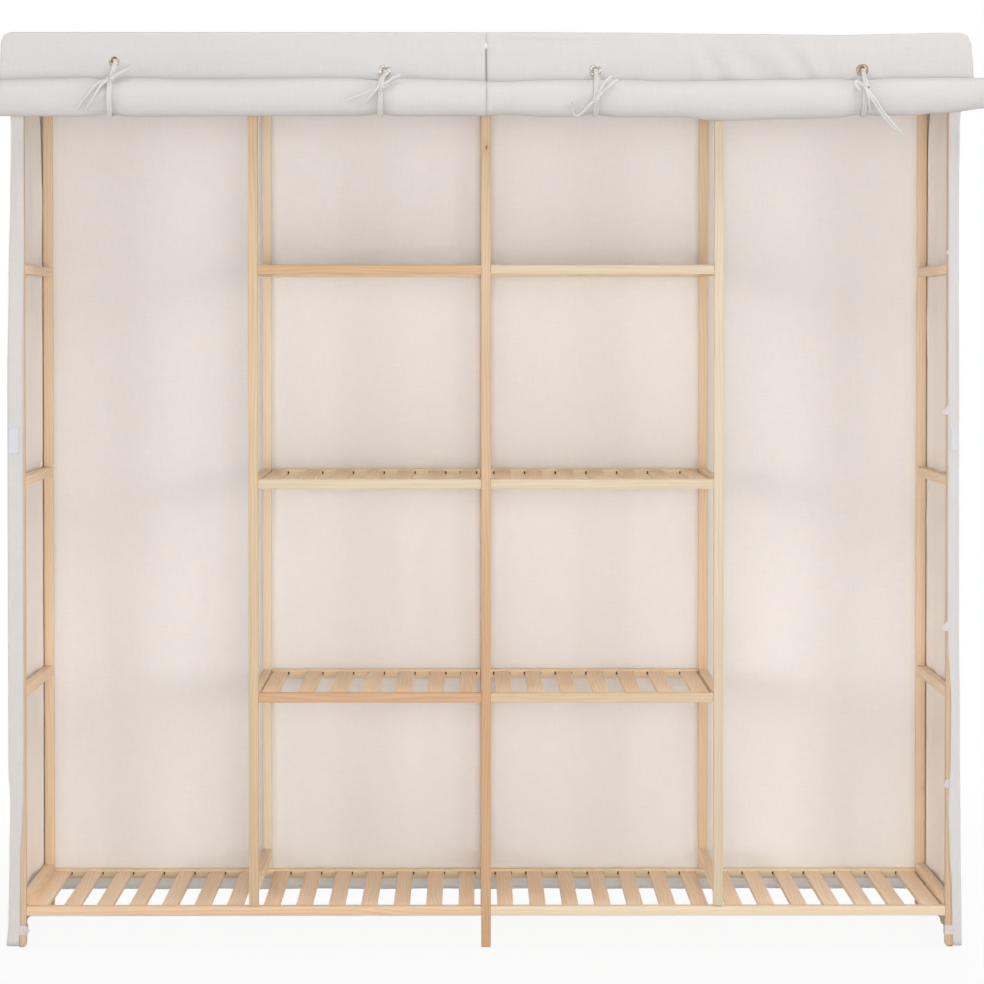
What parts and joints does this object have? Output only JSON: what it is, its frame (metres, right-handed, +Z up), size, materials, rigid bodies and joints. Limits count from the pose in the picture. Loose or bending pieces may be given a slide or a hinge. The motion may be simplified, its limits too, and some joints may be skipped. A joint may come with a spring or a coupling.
{
  "type": "portable fabric wardrobe",
  "caption": "Wide pine-frame wardrobe with slatted shelves between hanging bays, under a fabric cover whose front curtains are rolled up and tied.",
  "frame": {"origin": "middle of the footprint on the floor, free tie cords left out", "axes": "+X along the width to the right, seen from the front; +Y to the back; +Z up"},
  "size_m": [1.88, 0.5447, 1.7],
  "materials": {
    "post_pine": "planed pine, clear sealed",
    "rail_pine": "planed pine, clear sealed",
    "rod_pine": "turned pine, clear sealed",
    "slat_pine": "planed pine, clear sealed",
    "cover_cloth": "woven, matt",
    "curtain_cloth": "woven, matt",
    "eyelet_brass": "pressed, satin",
    "tie_cord": "soft braided"
  },
  "bodies": {
    "frame": {"front_post_left": "post_pine", "front_post_right": "post_pine", "front_post_centre": "post_pine", "front_inner_post_left": "post_pine", "front_inner_post_right": "post_pine", "back_post_left": "post_pine", "back_post_right": "post_pine", "back_post_centre": "post_pine", "back_inner_post_left": "post_pine", "back_inner_post_right": "post_pine", "top_rail_front": "rail_pine", "top_rail_back": "rail_pine", "centre_bar_bottom": "rail_pine", "centre_bar_top": "rail_pine", "side_bar_left_bottom": "rail_pine", "side_bar_left_low": "rail_pine", "side_bar_left_middle": "rail_pine", "side_bar_left_high": "rail_pine", "inner_bar_left_bottom": "rail_pine", "inner_bar_left_low": "rail_pine", "inner_bar_left_middle": "rail_pine", "inner_bar_left_high": "rail_pine", "side_rod_board_left": "rail_pine", "inner_rod_board_left": "rail_pine", "side_bar_right_bottom": "rail_pine", "side_bar_right_low": "rail_pine", "side_bar_right_middle": "rail_pine", "side_bar_right_high": "rail_pine", "inner_bar_right_bottom": "rail_pine", "inner_bar_right_low": "rail_pine", "inner_bar_right_middle": "rail_pine", "inner_bar_right_high": "rail_pine", "side_rod_board_right": "rail_pine", "inner_rod_board_right": "rail_pine", "hanging_rod_left": "rod_pine", "hanging_rod_right": "rod_pine", "bottom_panel_left": "slat_pine", "bottom_panel_right": "slat_pine", "shelf_left_low": "slat_pine", "shelf_left_middle": "slat_pine", "shelf_left_high": "slat_pine", "shelf_right_low": "slat_pine", "shelf_right_middle": "slat_pine", "shelf_right_high": "slat_pine", "cover_top": "cover_cloth", "back_cloth": "cover_cloth", "side_cloth_left": "cover_cloth", "side_cloth_right": "cover_cloth", "curtain_band_left": "curtain_cloth", "curtain_band_right": "curtain_cloth", "eyelet_outer_left": "eyelet_brass", "eyelet_inner_left": "eyelet_brass", "eyelet_inner_right": "eyelet_brass", "eyelet_outer_right": "eyelet_brass", "tie_outer_left": "tie_cord", "tie_inner_left": "tie_cord", "tie_inner_right": "tie_cord", "tie_outer_right": "tie_cord"},
    "rolled_curtain_left": {"curtain_roll_left": "curtain_cloth"},
    "rolled_curtain_right": {"curtain_roll_right": "curtain_cloth"}
  },
  "joints": [
    {"name": "curtain_left_drop", "type": "slide", "parent": "frame", "child": "rolled_curtain_left", "axis": [0, 0, -1], "range_m": [0, 1.5], "deforming": ["curtain_band_left", "tie_outer_left", "tie_inner_left"]},
    {"name": "curtain_right_drop", "type": "slide", "parent": "frame", "child": "rolled_curtain_right", "axis": [0, 0, -1], "range_m": [0, 1.5], "deforming": ["curtain_band_right", "tie_inner_right", "tie_outer_right"]}
  ]
}
